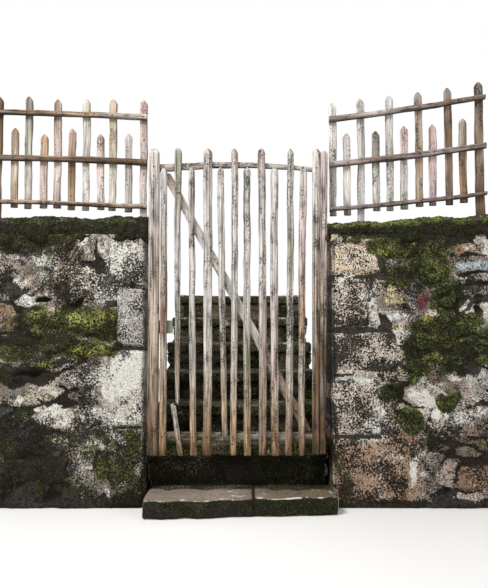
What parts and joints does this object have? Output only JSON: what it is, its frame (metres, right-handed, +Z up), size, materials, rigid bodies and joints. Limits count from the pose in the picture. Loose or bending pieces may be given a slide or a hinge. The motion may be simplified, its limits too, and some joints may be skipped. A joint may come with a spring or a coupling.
{
  "type": "garden gate between stone wall ends",
  "caption": "Weathered cleft-pale gate leaf hung between two mossy rubble wall ends, with pale fence panels on the walls, a stone threshold and a flight of stone steps behind.",
  "frame": {"origin": "on the ground in the middle of the opening, in the plane of the walls' front faces", "axes": "+X along the walls to the right, seen from the lane; +Y away from the lane, up the steps; +Z up"},
  "size_m": [2.625, 2.0729, 2.1593],
  "materials": {
    "rubble_stone": "rough granite rubble with lichen and moss",
    "jamb_stone": "dressed granite, weathered, spotted with lichen",
    "mossy_coping": "flat stones under moss and turf",
    "slab_stone": "worn granite, damp, with a lichened edge",
    "step_stone": "worn granite with algae on the risers",
    "fence_wood": "cleft chestnut, weathered reddish grey",
    "gate_wood": "cleft chestnut, weathered silver grey, tan at the foot",
    "rusty_iron": "forged, rusted",
    "lock_iron": "faded grey-green paint with rust"
  },
  "bodies": {
    "surround": {"left_wall": "rubble_stone", "right_wall": "rubble_stone", "left_coping": "mossy_coping", "right_coping": "mossy_coping", "left_jamb_stones": "jamb_stone", "right_jamb_stones": "jamb_stone", "threshold_slabs": "slab_stone", "stair_base": "step_stone", "tread_1": "step_stone", "tread_2": "step_stone", "tread_3": "step_stone", "tread_4": "step_stone", "tread_5": "step_stone", "tread_6": "step_stone", "left_fence_rails": "fence_wood", "left_fence_tall_pales": "fence_wood", "left_fence_short_pales": "fence_wood", "right_fence_rails": "fence_wood", "right_fence_tall_pales": "fence_wood", "right_fence_short_pales": "fence_wood", "right_fence_post": "fence_wood", "hinge_hooks": "rusty_iron"},
    "leaf": {"left_stile": "gate_wood", "inner_right_stile": "gate_wood", "outer_right_stile": "gate_wood", "pale_1": "gate_wood", "broken_pale": "gate_wood", "pale_3": "gate_wood", "pale_4": "gate_wood", "pale_5": "gate_wood", "pale_6": "gate_wood", "pale_7": "gate_wood", "pale_8": "gate_wood", "pale_9": "gate_wood", "pale_10": "gate_wood", "pale_11": "gate_wood", "broken_pale_foot": "gate_wood", "gate_top_rail": "gate_wood", "gate_bottom_rail": "gate_wood", "gate_brace": "gate_wood", "hinge_eyes": "rusty_iron", "lock_case": "lock_iron"}
  },
  "joints": [
    {"name": "gate_swing", "type": "hinge", "parent": "surround", "child": "leaf", "pos_m": [0.447, 0.01, 0.345], "axis": [0, 0, 1], "range_deg": [0, 95]}
  ]
}
